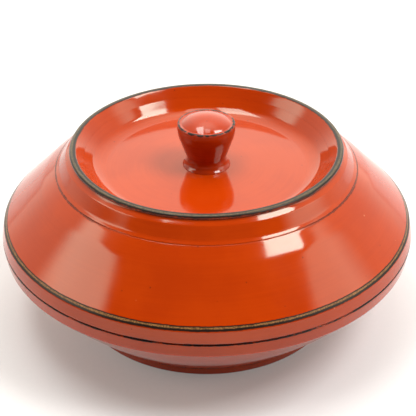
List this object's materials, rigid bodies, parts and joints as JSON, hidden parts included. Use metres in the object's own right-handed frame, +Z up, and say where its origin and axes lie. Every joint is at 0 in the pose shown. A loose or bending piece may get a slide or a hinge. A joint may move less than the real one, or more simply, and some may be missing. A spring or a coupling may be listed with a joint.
{
  "type": "covered bowl",
  "caption": "Turned red-lacquered covered bowl: flared bowl on a foot ring, with a sloping lid, standing collar, dished top and a knob, that lifts off an inner lip.",
  "frame": {"origin": "centre of the foot ring's underside, on the table", "axes": "+Z up, along the axis that everything is turned about; X and Y are equivalent"},
  "size_m": [0.2098, 0.2098, 0.109],
  "materials": {
    "red_lacquer": "turned wood under polished vermilion lacquer, with the black undercoat worn through at the edges",
    "knob_lacquer": "the same vermilion lacquer, a little deeper in colour on the knob",
    "black_lacquer": "turned wood under black lacquer, smooth and glossy"
  },
  "bodies": {
    "bowl": {"bowl_shell": "red_lacquer", "foot_ring": "red_lacquer", "bowl_lip_ring": "black_lacquer"},
    "lid": {"lid_shell": "red_lacquer", "lid_collar_ring": "red_lacquer", "knob": "knob_lacquer"}
  },
  "joints": [
    {"name": "lid_lift", "type": "slide", "parent": "bowl", "child": "lid", "axis": [0, 0, 1], "range_m": [0, 0.15]}
  ]
}
